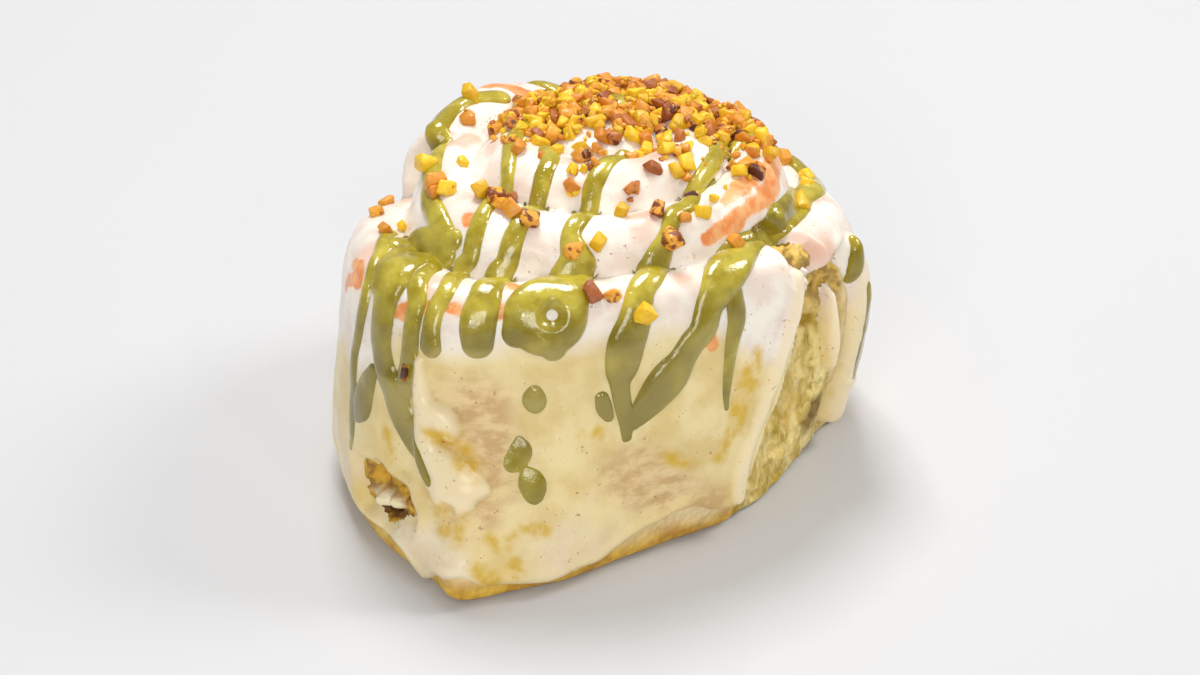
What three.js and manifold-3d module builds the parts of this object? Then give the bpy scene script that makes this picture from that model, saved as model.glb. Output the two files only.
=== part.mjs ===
// A glazed cinnamon roll: one coil of soft dough pulled from a tray of rolls, a coat of white icing poured
// over it, pistachio sauce squeezed across in strands, and chopped pistachios on top.
// Millimetres, +Z up, the front towards -Y. The origin is under the roll's axis, on the surface it rests on.

import * as THREE from "three";
import Module from "manifold-3d";
import { mergeVertices } from "three/addons/utils/BufferGeometryUtils.js";

const wasm = await Module();
wasm.setup();

// The dough strip.
const PITCH = 12.3; // from one turn of the coil to the next
const CORE = 1.2; // radius at which the innermost turn starts
const TAIL = 174; // degrees: where the loose end of the strip lies against the side
const TAPER = 10; // degrees each side of the tail over which it is pressed flat
const COIL_X = 2.0; // the coil sits a little off the axis of the outline
const COIL_Y = -1.5;
const MEAN_RADIUS = 46.5; // of the shoulder
const OUTER_TURN = 3; // turns inside the outer one, at the tail

// The top: the middle stands level and the turns step down from it, as [turns out from the middle, height].
const MIDDLE_HEIGHT = 64;
const CRESTS = [
  [0, 64], [1.3, 64.5], [1.85, 64], [2.15, 62.5], [2.47, 60.5], [2.72, 59.7], [2.97, 60.5], [3.06, 61],
  [3.11, 60], [3.16, 57], [3.22, 53], [3.3, 49], [3.47, 50], [3.6, 53], [3.72, 53.8], [3.85, 53], [3.95, 51],
  [4.02, 46], [5, 44],
];
const RISE = 3.4; // from the groove inside a turn up to its crest
const CREST_ACROSS = 0.42; // where the crest lies across a turn, as a share of its width
const SHOULDER_FALL = 10; // from the outer turn's crest down to where its side is upright
const FOOT_ROUND = 3.0; // rounding under the side, where the dough met the tray

// The side of the roll, as [degrees, radius]: its foot on the tray, and its shoulder.
const FOOT = [
  [-170, 53], [-158, 54], [-140, 57.5], [-128, 59.5], [-120, 61], [-114, 62.8], [-108, 59.5], [-98, 53],
  [-88, 46.5], [-75, 42.5], [-58, 40.5], [-45, 40], [-30, 39], [-10, 40.5], [2, 46.5], [20, 47], [40, 46.5],
  [60, 45], [90, 43.5], [120, 41.5], [150, 39], [168, 39.5], [177, 46], [184, 51],
];
const SHOULDER = [
  [-170, 47.8], [-158, 50.3], [-145, 53.3], [-131, 53.5], [-122, 52.5], [-111, 48.5], [-100, 45.5], [-90, 43],
  [-78, 41.5], [-64, 40.5], [-47, 40], [-37, 41.5], [-18, 44.5], [0, 46], [15, 44.8], [30, 43], [50, 41.5],
  [70, 40.5], [90, 40], [120, 38], [150, 36], [168, 36.5], [177, 41], [184, 45],
];

// The coats on the dough.
const GAP = 0.45; // between one coat and the next
const LEAST_GAP = 0.3; // where two coats are cut clear of each other
const ICING = 1.5; // thickness of the icing on a crest
const ICING_POOL = 1.2; // how much more lies in a groove
const ICING_HEM = 0.7; // thickness at its lower edge

const SLIVER = 0.02; // a face thinner than this is a sliver
const SEGMENTS = 48; // round the axis, for the dough and its coats

const clamp = (x, low = 0, high = 1) => Math.min(high, Math.max(low, x));
const smooth = (low, high, x) => {
  const t = clamp((x - low) / (high - low));
  return t * t * (3 - 2 * t);
};
const mix = (a, b, t) => a + (b - a) * t;

// Radius of a closed outline at an angle, by cubic interpolation between its [degrees, radius] points.
function outlineRadius(points, angle) {
  const turned = THREE.MathUtils.euclideanModulo(angle - points[0][0], 360) + points[0][0];
  const at = (i) => {
    const wrap = Math.floor(i / points.length);
    const [a, r] = points[i - wrap * points.length];
    return [a + 360 * wrap, r];
  };
  let i = 0;
  while (at(i + 1)[0] <= turned) i++;
  const [[a0, r0], [a1, r1], [a2, r2], [a3, r3]] = [at(i - 1), at(i), at(i + 1), at(i + 2)];
  const t = (turned - a1) / (a2 - a1);
  const m1 = ((r2 - r0) / (a2 - a0)) * (a2 - a1);
  const m2 = ((r3 - r1) / (a3 - a1)) * (a2 - a1);
  const [t2, t3] = [t * t, t * t * t];
  return (2 * t3 - 3 * t2 + 1) * r1 + (t3 - 2 * t2 + t) * m1 + (3 * t2 - 2 * t3) * r2 + (t3 - t2) * m2;
}

const footRadius = (angle) => outlineRadius(FOOT, angle);
const shoulderRadius = (angle) => outlineRadius(SHOULDER, angle);

// Share of a whole turn from the strip's tail, clockwise from above, which is the way the coil widens.
const turnShare = (angle) => THREE.MathUtils.euclideanModulo(TAIL - angle, 360) / 360;

// Radius of the groove outside turn n at an angle: round at the middle, squared off further out.
function grooveRadius(n, angle) {
  const round = CORE + PITCH * (n + turnShare(angle));
  const squareness = smooth(8, 44, round);
  const scaled = round * mix(1, shoulderRadius(angle) / MEAN_RADIUS, squareness);
  const a = THREE.MathUtils.degToRad(angle);
  return scaled + COIL_X * Math.cos(a) + COIL_Y * Math.sin(a);
}

// Which turn lies at a point of the top, and how far across that turn the point is, from 0 to 1.
function turnAt(radius, angle) {
  const edges = [-1, 0, 1, 2].map((n) => Math.max(0, grooveRadius(n, angle)));
  const ring = edges.filter((edge) => edge <= radius).length;
  const outermost = ring === edges.length;
  const inner = ring === 0 ? -edges[0] : edges[ring - 1];
  const outer = outermost ? shoulderRadius(angle) : edges[ring];
  const across = clamp((radius - inner) / (outer - inner));
  return { turn: ring - 1 + turnShare(angle), outermost, across };
}

// Height of the crest at a number of turns out from the middle.
function crestHeight(turn) {
  const next = CRESTS.findIndex(([turns]) => turns > turn);
  const [[t0, h0], [t1, h1]] = [CRESTS[next - 1], CRESTS[next]];
  return mix(h0, h1, (turn - t0) / (t1 - t0));
}

// Height of the coil's top at a point given by its radius and angle, with the tail cut off square.
function coilHeight(radius, angle) {
  const { turn, outermost, across } = turnAt(radius, angle);
  const crest = crestHeight(Math.max(0, turn));
  const fall = outermost ? SHOULDER_FALL : crest - crestHeight(Math.max(0, turn + 1)) + RISE;
  const inside = Math.max(0, 1 - across / CREST_ACROSS) ** 2;
  const outside = Math.max(0, (across - CREST_ACROSS) / (1 - CREST_ACROSS)) ** 2;
  return crest - RISE * inside - fall * outside;
}

// Height of the shoulder, where the side of the roll turns upright, with the tail cut off square.
const shoulderOf = (angle) => crestHeight(OUTER_TURN + turnShare(angle)) - SHOULDER_FALL;

// The loose end of the strip is pressed on at a slant, so a height is blended across it.
function acrossTail(angle, heightAt) {
  const past = THREE.MathUtils.euclideanModulo(angle - TAIL + 180, 360) - 180;
  if (Math.abs(past) > TAPER) return heightAt(angle);
  return mix(heightAt(TAIL - TAPER), heightAt(TAIL + TAPER), smooth(-TAPER, TAPER, past));
}

const shoulderHeight = (angle) => acrossTail(angle, shoulderOf);

// Height of the dough's top: the coil, closed over in the middle.
function topHeight(radius, angle) {
  const coil = acrossTail(angle, (near) => coilHeight(radius, near));
  return mix(MIDDLE_HEIGHT, coil, smooth(1, 8, radius));
}

// Radius of the side at a share of the way up from the foot to the shoulder.
function sideRadius(angle, share) {
  const z = share * shoulderHeight(angle);
  const tuck = 0.8 * FOOT_ROUND * (1 - Math.sqrt(1 - (1 - clamp(z / FOOT_ROUND)) ** 2));
  const belly = 1.2 * Math.sin(Math.PI * share);
  return mix(footRadius(angle), shoulderRadius(angle), smooth(0, 1, share)) + belly - tuck;
}

// A point on the dough. Over the top, along runs from 0 at the axis to 1 at the shoulder, and down the side
// on to 2 at the foot.
function onDough(angle, along) {
  const a = THREE.MathUtils.degToRad(angle);
  const radius = along <= 1 ? along * shoulderRadius(angle) : sideRadius(angle, 2 - along);
  const height = along <= 1 ? topHeight(radius, angle) : (2 - along) * shoulderHeight(angle);
  return new THREE.Vector3(radius * Math.cos(a), radius * Math.sin(a), height);
}

// Which way the dough faces at a point.
function facing(angle, along) {
  const near = Math.max(along, 0.03);
  const round = onDough(angle + 3, near).sub(onDough(angle - 3, near));
  const down = onDough(angle, Math.min(near + 0.02, 2)).sub(onDough(angle, near - 0.02));
  return down.cross(round).normalize();
}

// A point at a distance out from the dough.
const skin = (angle, along, lift = 0) => onDough(angle, along).addScaledVector(facing(angle, along), lift);

// How deep in a groove a point of the top lies, from 0 on a crest to 1 in the groove.
function grooveDepth(angle, along) {
  if (along >= 1) return 0;
  const { outermost, across } = turnAt(along * shoulderRadius(angle), angle);
  const inner = 1 - smooth(0, 0.22, across);
  return outermost ? inner : Math.max(inner, smooth(0.8, 1, across));
}

const icingLift = (angle, along) => GAP + ICING + ICING_POOL * grooveDepth(angle, along);

// Steps from the axis over the top, closer together over the rounded shoulder.
const TOP_STEPS = [0, 0.08, 0.16, 0.24, 0.31, 0.38, 0.45, 0.52, 0.59, 0.66, 0.73, 0.8, 0.86, 0.92, 0.965, 1];

// Turns a list of rows, each a function of the angle that gives a point, into a closed body. The first and
// last rows lie on the axis.
function revolve(rows) {
  const profile = rows.map((_, i) => new THREE.Vector2(i === 0 || i === rows.length - 1 ? 0 : 1, -i));
  const geometry = new THREE.LatheGeometry(profile, SEGMENTS);
  const position = geometry.getAttribute("position");
  for (let i = 0; i < position.count; i++) {
    const row = i % rows.length;
    const column = Math.floor(i / rows.length) % SEGMENTS;
    const point = rows[row]((column * 360) / SEGMENTS - 180);
    position.setXYZ(i, point.x, point.y, point.z);
  }
  return outwards(geometry);
}

// A geometry with merged vertices and its faces pointing out.
function outwards(geometry) {
  geometry.deleteAttribute("normal");
  geometry.deleteAttribute("uv");
  const merged = mergeVertices(geometry, 1e-3);
  if (volume(merged) < 0) {
    const index = merged.index.array;
    for (let i = 0; i < index.length; i += 3) [index[i + 1], index[i + 2]] = [index[i + 2], index[i + 1]];
  }
  return merged;
}

function volume(geometry) {
  const p = geometry.getAttribute("position");
  const corners = [new THREE.Vector3(), new THREE.Vector3(), new THREE.Vector3()];
  let total = 0;
  for (let i = 0; i < geometry.index.count; i += 3) {
    corners.forEach((c, k) => c.fromBufferAttribute(p, geometry.index.getX(i + k)));
    total += corners[0].dot(corners[1].clone().cross(corners[2])) / 6;
  }
  return total;
}

const onAxis = (height) => () => new THREE.Vector3(0, 0, height);
const axisHeight = (lift) => topHeight(0, 0) + lift;

// The dough: over the top, down the side and back across the flat foot.
function doughGeometry() {
  const side = [1.14, 1.35, 1.56, 1.76, 1.92, 1.97, 2];
  const rows = [
    onAxis(axisHeight(0)),
    ...[...TOP_STEPS.slice(1), ...side].map((along) => (angle) => skin(angle, along)),
    onAxis(0),
  ];
  return revolve(rows);
}

// How far down the side the icing has run at an angle: it flowed over the front and left bare dough behind.
function icingHem(angle) {
  const wave = (count, lead) => Math.sin(THREE.MathUtils.degToRad(angle * count + lead));
  const runs = 0.1 * wave(5, 0) + 0.07 * wave(9, 40);
  const front = smooth(75, 20, Math.abs(angle + 112));
  const torn = smooth(26, 12, Math.abs(angle + 25));
  return clamp(mix(mix(1.5 + runs, 1.86, front), 1.1, torn), 1.08, 1.9);
}

// The icing: its outer face from the axis to the hem, and its inner face back to the axis.
function icingGeometry() {
  const sideShares = [0.3, 0.62, 0.9, 1];
  const alongAt = (angle, share) => 1 + share * (icingHem(angle) - 1);
  const steps = [
    ...TOP_STEPS.slice(1).map((along) => () => along),
    ...sideShares.map((share) => (angle) => alongAt(angle, share)),
  ];
  const outer = steps.map((step, i) => (angle) => {
    const along = step(angle);
    const lift = i === steps.length - 1 ? GAP + ICING_HEM : icingLift(angle, along);
    return skin(angle, along, lift);
  });
  const inner = steps.map((step) => (angle) => skin(angle, step(angle), GAP)).reverse();
  return revolve([onAxis(axisHeight(GAP + ICING)), ...outer, ...inner, onAxis(axisHeight(GAP))]);
}

// Everything under the next coat, with its gap: what a strand or a nut is cut with where it sinks in.
function underCoatSolid() {
  const side = [1.14, 1.35, 1.56, 1.76, 2];
  const lifted = (along) => (angle) => skin(angle, along, icingLift(angle, along) + GAP);
  const rows = [
    onAxis(axisHeight(GAP + ICING + GAP)),
    ...[...TOP_STEPS.slice(1), ...side].map(lifted),
    onAxis(0),
  ];
  return solidOf(revolve(rows));
}

function solidOf(geometry) {
  const vertProperties = Float32Array.from(geometry.getAttribute("position").array);
  const triVerts = Uint32Array.from(geometry.index.array);
  return new wasm.Manifold(new wasm.Mesh({ numProp: 3, vertProperties, triVerts }));
}

// The largest body of a solid, as a geometry, without the slivers that a cut leaves.
function geometryOf(solid) {
  const bodies = solid.simplify(SLIVER).decompose();
  const largest = bodies.sort((a, b) => b.volume() - a.volume())[0];
  if (!largest) throw new Error("nothing is left of a piece");
  const mesh = largest.getMesh();
  return new THREE.BufferGeometry()
    .setAttribute("position", new THREE.BufferAttribute(mesh.vertProperties, 3))
    .setIndex(new THREE.BufferAttribute(mesh.triVerts, 1));
}

// A strand of sauce as it was squeezed out, through [degrees, along the skin] points, with tapered ends.
function strandGeometry(route, width) {
  const sides = 7;
  const depth = 0.62 * width;
  const lift = (angle, along) => icingLift(angle, along) + GAP + 0.1 * depth;
  const points = route.map(([angle, along]) => skin(angle, along, lift(angle, along)));
  const curve = new THREE.CatmullRomCurve3(points, false, "centripetal");
  const steps = Math.max(6, Math.round(curve.getLength() / 4));
  const centre = new THREE.Vector3(0, 0, 12);
  const rings = curve.getSpacedPoints(steps).map((point, i) => {
    const tangent = curve.getTangentAt(i / steps);
    const out = point.clone().sub(centre).normalize();
    const across = new THREE.Vector3().crossVectors(tangent, out).normalize();
    const up = new THREE.Vector3().crossVectors(across, tangent).normalize();
    const end = Math.min(1, 0.45 + Math.min(i, steps - i) * 0.3);
    return Array.from({ length: sides }, (_, k) => {
      const turn = (2 * Math.PI * k) / sides;
      return point.clone()
        .addScaledVector(across, (end * width * Math.cos(turn)) / 2)
        .addScaledVector(up, (end * depth * Math.sin(turn)) / 2);
    });
  });
  return loft(rings);
}

// A closed body through rings of points, with a fan at each end.
function loft(rings) {
  const sides = rings[0].length;
  const vertices = rings.flat();
  const index = [];
  for (let i = 0; i + 1 < rings.length; i++) {
    for (let k = 0; k < sides; k++) {
      const [a, b] = [i * sides + k, i * sides + ((k + 1) % sides)];
      index.push(a, b, a + sides, b, b + sides, a + sides);
    }
  }
  [[0, 1], [rings.length - 1, -1]].forEach(([ring, way]) => {
    const middle = rings[ring].reduce((sum, p) => sum.add(p), new THREE.Vector3()).divideScalar(sides);
    const hub = vertices.push(middle) - 1;
    for (let k = 0; k < sides; k++) {
      const [a, b] = [ring * sides + k, ring * sides + ((k + 1) % sides)];
      index.push(...(way > 0 ? [hub, b, a] : [hub, a, b]));
    }
  });
  return outwards(new THREE.BufferGeometry().setFromPoints(vertices).setIndex(index));
}

// A chip of nut: a block with its corners knocked off, turned and set over a point of the skin.
function nutGeometry(angle, along, size, turn, lift) {
  const chip = new THREE.IcosahedronGeometry(0.5 * size);
  const shape = new THREE.Matrix4()
    .makeRotationFromEuler(new THREE.Euler(turn, 2 * turn, 3 * turn))
    .scale(new THREE.Vector3(1.15, 0.85, 0.75));
  const seat = skin(angle, along, icingLift(angle, along) + GAP + 0.2 * size + lift);
  chip.applyMatrix4(shape).translate(seat.x, seat.y, seat.z);
  return outwards(chip);
}

const finish = (color, roughness) => new THREE.MeshStandardMaterial({ color, roughness, metalness: 0 });
const doughFinish = finish(0xe0b878, 0.85);
const icingFinish = finish(0xf4ead8, 0.35);
const sauceFinish = finish(0x9a962c, 0.2);
const nutFinishes = [finish(0xd99a3a, 0.6), finish(0xe6c22e, 0.6), finish(0xa9701f, 0.6)];

// The strands of sauce, squeezed across the roll from back to front and left to run down its side.
const STRANDS = {
  sauce_far_left: {
    route: [[-152, 0.83], [-145, 0.95], [-142, 1.05], [-143, 1.35], [-145, 1.65]],
    width: 2.8,
  },
  sauce_left_fall: {
    route: [
      [156, 0.8], [172, 0.7], [-160, 0.67], [-145, 0.73], [-140, 0.88], [-136, 1.02], [-131, 1.2],
      [-129, 1.42], [-125, 1.6],
    ],
    width: 5.6,
  },
  sauce_left_branch: { route: [[-132, 0.87], [-129, 0.95], [-126, 1.04], [-127, 1.18]], width: 3.2 },
  sauce_front_left: {
    route: [[-177, 0.34], [-145, 0.43], [-131, 0.6], [-126, 0.74], [-125, 0.85], [-123, 0.97], [-122, 1.1]],
    width: 3.4,
  },
  sauce_front_wide: {
    route: [[-127, 0.34], [-120, 0.55], [-117, 0.75], [-116, 0.87], [-115, 0.97], [-115, 1.12]],
    width: 4.6,
  },
  sauce_pool: { route: [[-101, 0.84], [-102, 0.92], [-103, 1.0], [-102, 1.15]], width: 8.4 },
  sauce_middle: {
    route: [
      [-30, 0.52], [-50, 0.6], [-64, 0.7], [-76, 0.82], [-82, 0.95], [-85, 1.05], [-87, 1.2], [-86, 1.4],
    ],
    width: 4.4,
  },
  sauce_long_right: {
    route: [
      [22, 0.86], [8, 0.84], [-14, 0.84], [-34, 0.87], [-48, 0.90], [-58, 0.95], [-66, 1.02], [-73, 1.12],
      [-78, 1.25],
    ],
    width: 5.4,
  },
  sauce_right_branch: { route: [[-57, 1.04], [-58, 1.15], [-60, 1.28], [-61, 1.42]], width: 2.6 },
  sauce_right_coil: { route: [[40, 0.56], [10, 0.56], [-8, 0.48], [-18, 0.48]], width: 3.4 },
  sauce_back_left: { route: [[112, 0.78], [116, 0.86], [120, 0.97], [121, 1.3]], width: 5.0 },
  sauce_back_right: { route: [[69, 0.8], [71, 0.88], [72, 0.97], [73, 1.22]], width: 4.6 },
  sauce_right_side: { route: [[-12, 0.97], [-6, 1.1], [-4, 1.35], [-4, 1.6]], width: 2.8 },
};

// The larger chips, thickest on the raised middle: sown at the golden angle, each clear of the next.
const CHIPS = 34;
const CHIP_SIZE = 2.7;
const GOLDEN_ANGLE = 137.508;
const MIDDLE_SPREAD = 0.56; // how far out the chips go, as a share of the way to the shoulder
const EDGE_CHIPS = [
  [-167, 0.68], [-164, 0.88], [-115, 0.66], [-100, 0.77], [-66, 0.84], [-92, 0.94], [-28, 0.62], [9, 0.84],
];

const roll = new THREE.Group();

function add(name, geometry, material) {
  const mesh = new THREE.Mesh(geometry, material);
  mesh.name = name;
  roll.add(mesh);
}

const dough = doughGeometry();
add("dough_coil", dough, doughFinish);

// In the grooves the coat above is cut clear of the one below, by the one below raised by the least gap.
const withGap = (geometry) => solidOf(geometry).add(solidOf(geometry.clone().translate(0, 0, LEAST_GAP)));
const icing = geometryOf(solidOf(icingGeometry()).subtract(withGap(dough)));
add("white_icing", icing, icingFinish);

let laid = underCoatSolid().add(withGap(dough)).add(withGap(icing));
for (const [name, { route, width }] of Object.entries(STRANDS)) {
  add(name, geometryOf(solidOf(strandGeometry(route, width)).subtract(laid)), sauceFinish);
  laid = laid.add(solidOf(strandGeometry(route, width + 2 * GAP)));
}

// A chip comes to rest where it is just clear of whatever is laid there.
function seatedChip(angle, along, size, turn) {
  for (let lift = 0; ; lift += 0.05 * size) {
    const chip = nutGeometry(angle, along, size, turn, lift);
    if (solidOf(chip).intersect(laid).isEmpty()) {
      laid = laid.add(solidOf(nutGeometry(angle, along, size + 2 * LEAST_GAP, turn, lift)));
      return chip;
    }
  }
}

const sown = Array.from({ length: CHIPS }, (_, i) => {
  return [i * GOLDEN_ANGLE, MIDDLE_SPREAD * Math.sqrt((i + 0.6) / CHIPS)];
});
[...sown, ...EDGE_CHIPS].forEach(([angle, along], i) => {
  const size = CHIP_SIZE + 0.2 * ((i * 7) % 5);
  const name = `pistachio_chip_${String(i + 1).padStart(2, "0")}`;
  add(name, seatedChip(angle, along, size, 1 + i * 0.7), nutFinishes[i % nutFinishes.length]);
});

export default roll;
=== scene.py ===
import math

import bmesh
import bpy
import numpy as np
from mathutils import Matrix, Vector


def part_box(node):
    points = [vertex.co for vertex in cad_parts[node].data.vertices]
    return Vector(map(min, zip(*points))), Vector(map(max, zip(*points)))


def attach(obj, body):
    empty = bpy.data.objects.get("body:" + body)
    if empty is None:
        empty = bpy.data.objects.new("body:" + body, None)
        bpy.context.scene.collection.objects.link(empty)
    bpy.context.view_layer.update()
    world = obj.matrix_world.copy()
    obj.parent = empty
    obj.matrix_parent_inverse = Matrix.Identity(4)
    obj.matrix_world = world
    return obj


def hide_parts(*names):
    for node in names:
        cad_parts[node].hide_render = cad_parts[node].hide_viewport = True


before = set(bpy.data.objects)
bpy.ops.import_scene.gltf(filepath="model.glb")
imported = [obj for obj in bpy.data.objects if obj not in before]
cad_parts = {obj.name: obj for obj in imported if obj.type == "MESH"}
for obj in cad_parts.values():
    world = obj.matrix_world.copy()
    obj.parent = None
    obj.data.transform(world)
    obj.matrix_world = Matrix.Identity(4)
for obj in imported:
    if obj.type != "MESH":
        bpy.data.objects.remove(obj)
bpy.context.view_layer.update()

import openvdb
from mathutils import Vector
from mathutils.bvhtree import BVHTree


# ---------------------------------------------------------------------------------------------
# The dough. A strip of soft yeast dough is wound into a coil, and the coils are baked side by side
# in a deep tray, so each one grows up tall and slightly square. This one was pulled from its
# neighbours: it has smooth sides, a flat browned foot, and a torn flank at the front right.

MM = 0.001
GRAIN = 0.5  # mm: spacing of the mesh over the whole roll
PITCH = 12.3  # mm from one turn of the coil to the next
CORE = 1.2  # mm: where the innermost turn starts
TAIL = 174.0  # degrees: where the strip's loose end lies
COIL_SHIFT = (2.0, -1.5)  # mm that the grooves are pushed off the middle
GROOVE_DEPTH = 4.0  # mm
CREST_PLACE = 0.38  # how far out across a turn its crest lies, as a share of the turn's width
LAST_TURN_OVERHANG = 7.0  # mm: the outer turn falls away to a line this far outside the shoulder
MEAN_RADIUS = 46.5  # mm
SIDE_HEIGHT = 48.0  # mm
BELLY = 1.4  # mm that the side swells at half its height
SHOULDER_BEND = 8.0  # mm: the rounding between the side and the top
RIGHT_SLUMP = 7.0  # mm more rounding on the right, where the outer turn sags
BACK_CRISPNESS = 2.0  # mm less at the back left
FOOT_BEND = 3.0  # mm
FOOT_CLEARANCE = 0.3  # mm over the table
CLEFT_DEPTH = 4.5  # mm that the torn flank is sunk
FLANK_HEIGHT = 44.0  # mm
FLANK_EDGE = -37.0  # degrees: the flank's front edge at its top
FLANK_SLANT = 20.0  # degrees that the edge comes forward towards the foot
ROOM = ((-58, 56), (-66, 58), (-3, 72))  # mm: the space in x, y and z that holds the roll
FIELD_REACH = 3.0  # mm: distances are kept only this near the surface
FOOT = (  # (degrees, radius in mm) round the foot
    (-170, 52), (-158, 53), (-140, 57), (-128, 59.5), (-119, 61.2), (-114.5, 66.8), (-110, 60), (-98, 53),
    (-88, 46.5), (-75, 42.5), (-58, 41), (-45, 41), (-30, 39.5), (-10, 41), (2, 46.5), (20, 47), (40, 46.5),
    (60, 45), (90, 43.5), (120, 41.5), (150, 39), (168, 39.5), (177, 46), (184, 50.5),
)
SHOULDER = (  # the same round the shoulder
    (-170, 47.3), (-158, 50.3), (-145, 53.3), (-131, 53.5), (-122, 52.5), (-111, 48.5), (-100, 45.5),
    (-90, 43), (-78, 41.5), (-64, 40.5), (-47, 40), (-37, 41.5), (-18, 44.5), (0, 46), (15, 44.5),
    (30, 42.5), (50, 41), (70, 40.5), (90, 40), (120, 38), (150, 35.5), (168, 36), (177, 41), (184, 45),
)
CRESTS = (  # (turns out from the middle, height of that crest in mm)
    (0, 64), (1.3, 64.5), (1.85, 64), (2.15, 62.5), (2.47, 60.5), (2.6, 60), (2.72, 59.7), (2.97, 60.5),
    (3.06, 61.5), (3.11, 61), (3.16, 57.5), (3.22, 53), (3.3, 49), (3.47, 50), (3.6, 53), (3.72, 53.8),
    (3.85, 53), (3.95, 51), (4.02, 46), (5, 44),
)


def smooth_step(low, high, x):
    t = np.clip((x - low) / (high - low), 0.0, 1.0)
    return t * t * (3.0 - 2.0 * t)


def hump(x, middle, width):
    return np.exp(-(((x - middle) / width) ** 2))


def soft_max(a, b, blend):
    t = np.clip(0.5 + 0.5 * (a - b) / blend, 0.0, 1.0)
    return b + (a - b) * t + blend * t * (1.0 - t)


def outline(points):
    """Radius of a closed outline at each half degree, from its (degrees, radius) points."""
    angles, radii = np.array(points, float).T
    fine = np.interp(np.arange(0, 360, 0.5), angles % 360, radii, period=360)
    reach = np.arange(-20, 21)
    bell = np.exp(-0.5 * (reach / 5.0) ** 2)
    return sum(w * np.roll(fine, k) for k, w in zip(reach, bell / bell.sum()))


def radius_at(table, degrees):
    return np.interp(degrees % 360, np.arange(0, 360, 0.5), table, period=360)


def blur(field, spread):
    """A height field with its creases rounded over spread grid steps."""
    kx = np.fft.fftfreq(field.shape[0])[:, None]
    ky = np.fft.rfftfreq(field.shape[1])[None, :]
    soften = np.exp(-2 * (np.pi * spread) ** 2 * (kx ** 2 + ky ** 2))
    return np.fft.irfft2(np.fft.rfft2(field) * soften, s=field.shape)


def coil_top(x, y, shoulder):
    """Height of the spiral top over a grid of x, y."""
    degrees = np.degrees(np.arctan2(y, x))
    radius = np.hypot(x, y)
    share = ((TAIL - degrees) % 360) / 360
    pushed = COIL_SHIFT[0] * np.cos(np.radians(degrees)) + COIL_SHIFT[1] * np.sin(np.radians(degrees))

    def groove(n):
        ideal = CORE + PITCH * (n + share)
        squareness = smooth_step(8, 44, ideal)
        return np.maximum(0, ideal * (1 + squareness * (shoulder / MEAN_RADIUS - 1)) + pushed)

    grooves = np.stack([groove(n) for n in (-1, 0, 1, 2)])
    ring = (grooves <= radius).sum(axis=0)
    bounds = np.concatenate([-grooves[:1], grooves, (shoulder + LAST_TURN_OVERHANG)[None]])
    inner = np.take_along_axis(bounds, ring[None], 0)[0]
    outer = np.take_along_axis(bounds, ring[None] + 1, 0)[0]
    across = np.clip((radius - inner) / np.maximum(outer - inner, 0.1), 0, 1)
    turn = ring - 1 + share
    turns, heights = np.array(CRESTS).T
    crest = np.interp(turn, turns, heights)
    next_floor = np.interp(turn + 1, turns, heights) - GROOVE_DEPTH
    rise = 1 - np.sqrt(1 - np.clip(1 - across / CREST_PLACE, 0, 1) ** 2)
    fall = 1 - np.sqrt(1 - np.clip((across - CREST_PLACE) / (1 - CREST_PLACE), 0, 0.999) ** 2)
    return crest - GROOVE_DEPTH * rise - (crest - next_floor) * fall


def flank_edge(height):
    """Compass angle at which the front ends and the torn flank begins: it slants back as it rises."""
    return FLANK_EDGE - FLANK_SLANT * (1 - np.clip(height / FLANK_HEIGHT, 0, 1))


def roll_surface():
    """Vertices in mm and quads of the whole roll, from a field of its distance in a grid."""
    x, y, z = (np.arange(low, high, GRAIN) for low, high in ROOM)
    gx, gy = np.meshgrid(x, y, indexing="ij")
    degrees = np.degrees(np.arctan2(gy, gx))
    foot = radius_at(outline(FOOT), degrees)
    shoulder = radius_at(outline(SHOULDER), degrees)
    top = blur(coil_top(gx, gy, shoulder), 0.7 / GRAIN)
    slope = np.hypot(*np.gradient(top, GRAIN))
    bend = SHOULDER_BEND + RIGHT_SLUMP * hump(degrees, 12, 28) - BACK_CRISPNESS * hump(degrees, 145, 30)
    field = np.empty((len(x), len(y), len(z)), np.float32)
    for k, height in enumerate(z):
        up = smooth_step(0, 40, height)
        belly = BELLY * math.sin(math.pi * min(max(height, 0) / SIDE_HEIGHT, 1))
        cleft = CLEFT_DEPTH * hump(degrees - flank_edge(height), 13, 8)
        cleft = cleft * smooth_step(50, 38, height) * smooth_step(-2, 22, height)
        side = foot + (shoulder - foot) * up + belly - cleft
        outside = np.hypot(gx, gy) - side
        over = (height - top) / np.sqrt(1 + slope ** 2)
        under = np.full_like(top, FOOT_CLEARANCE - height)
        field[:, :, k] = soft_max(soft_max(over, outside, bend), under, FOOT_BEND)
    grid = openvdb.FloatGrid(FIELD_REACH)
    grid.copyFromArray(np.clip(field, -FIELD_REACH, FIELD_REACH))
    points, quads = grid.convertToQuads(0.0)
    corner = np.array([x[0], y[0], z[0]])
    return points * GRAIN + corner, quads.astype(np.int64)


def outward(points, quads):
    """The surface's direction at each point, from the quads around it."""
    a, b, c, d = (points[quads[:, k]] for k in range(4))
    flat = np.cross(c - a, d - b)
    normals = np.stack([
        sum(np.bincount(quads[:, k], flat[:, axis], len(points)) for k in range(4)) for axis in range(3)
    ], axis=1)
    return normals / np.maximum(np.linalg.norm(normals, axis=1, keepdims=True), 1e-9)


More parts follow.
